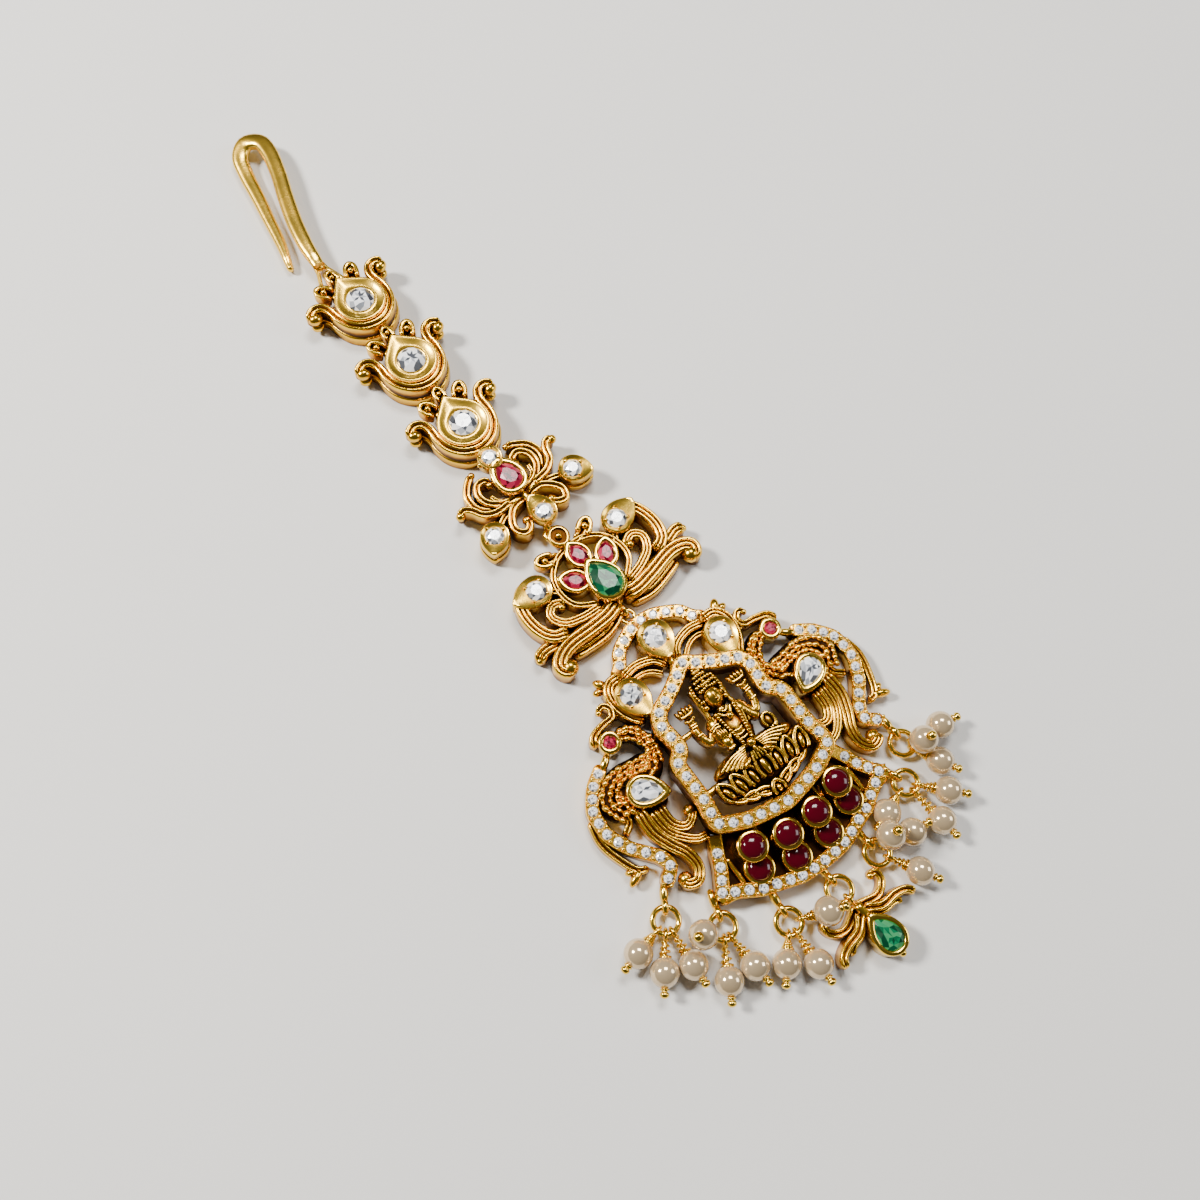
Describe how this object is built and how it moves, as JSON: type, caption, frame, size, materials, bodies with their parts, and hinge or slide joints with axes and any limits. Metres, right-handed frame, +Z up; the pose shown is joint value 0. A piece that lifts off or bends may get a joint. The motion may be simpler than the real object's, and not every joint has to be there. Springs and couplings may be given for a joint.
{
  "type": "maang tikka",
  "caption": "Long maang tikka hair jewel: hair hook, pierced stone-set chain motifs and an arched pendant with a seated figure, peacocks, ruby panel, pearl drops and an emerald drop.",
  "frame": {"origin": "middle of the bottom of the whole jewel as it lies on its back, on the surface that it rests on", "axes": "+Y along the jewel, from the pendant to the hair hook; +Z up, away from the surface, out of the jewel's face; +X across the pendant, to the right seen from the front"},
  "size_m": [0.0437, 0.1248, 0.0056],
  "materials": {
    "gold": "warm gold plating, satin on the plates and hook, dark antique in the grooves",
    "white_stone": "clear cut zirconia",
    "ruby": "crimson cut stone",
    "emerald": "green cut stone",
    "pearl": "ivory pearl lustre, with gold headpin and loop"
  },
  "bodies": {
    "root": {"hair_hook": "gold", "link_1": "gold", "link_stone_1": "white_stone", "link_2": "gold", "link_stone_2": "white_stone", "link_3": "gold", "link_stone_3": "white_stone", "flower_motif": "gold", "flower_top_stone": "white_stone", "flower_left_stone": "white_stone", "flower_right_stone": "white_stone", "flower_low_stone": "white_stone", "flower_ruby": "ruby", "lotus_motif": "gold", "lotus_emerald": "emerald", "lotus_top_ruby": "ruby", "lotus_left_ruby": "ruby", "lotus_right_ruby": "ruby", "lotus_left_stone": "white_stone", "lotus_right_stone": "white_stone", "pendant_frame": "gold", "crown_stone": "white_stone", "crown_left_stone": "white_stone", "crown_right_stone": "white_stone", "left_pear_stone": "white_stone", "right_pear_stone": "white_stone", "left_eye_ruby": "ruby", "right_eye_ruby": "ruby", "ring_1": "gold", "ring_2": "gold", "ring_3": "gold", "ring_4": "gold", "ring_5": "gold", "ring_6": "gold", "ring_7": "gold", "pearl_drop_01": "pearl", "pearl_drop_02": "pearl", "pearl_drop_03": "pearl", "pearl_drop_04": "pearl", "pearl_drop_05": "pearl", "pearl_drop_06": "pearl", "pearl_drop_07": "pearl", "pearl_drop_08": "pearl", "pearl_drop_09": "pearl", "pearl_drop_10": "pearl", "pearl_drop_11": "pearl", "pearl_drop_12": "pearl", "pearl_drop_13": "pearl", "pearl_drop_14": "pearl", "pearl_drop_15": "pearl", "pearl_drop_16": "pearl", "pearl_drop_17": "pearl", "pearl_drop_18": "pearl", "drop_mount": "gold", "drop_emerald": "emerald"}
  },
  "joints": []
}
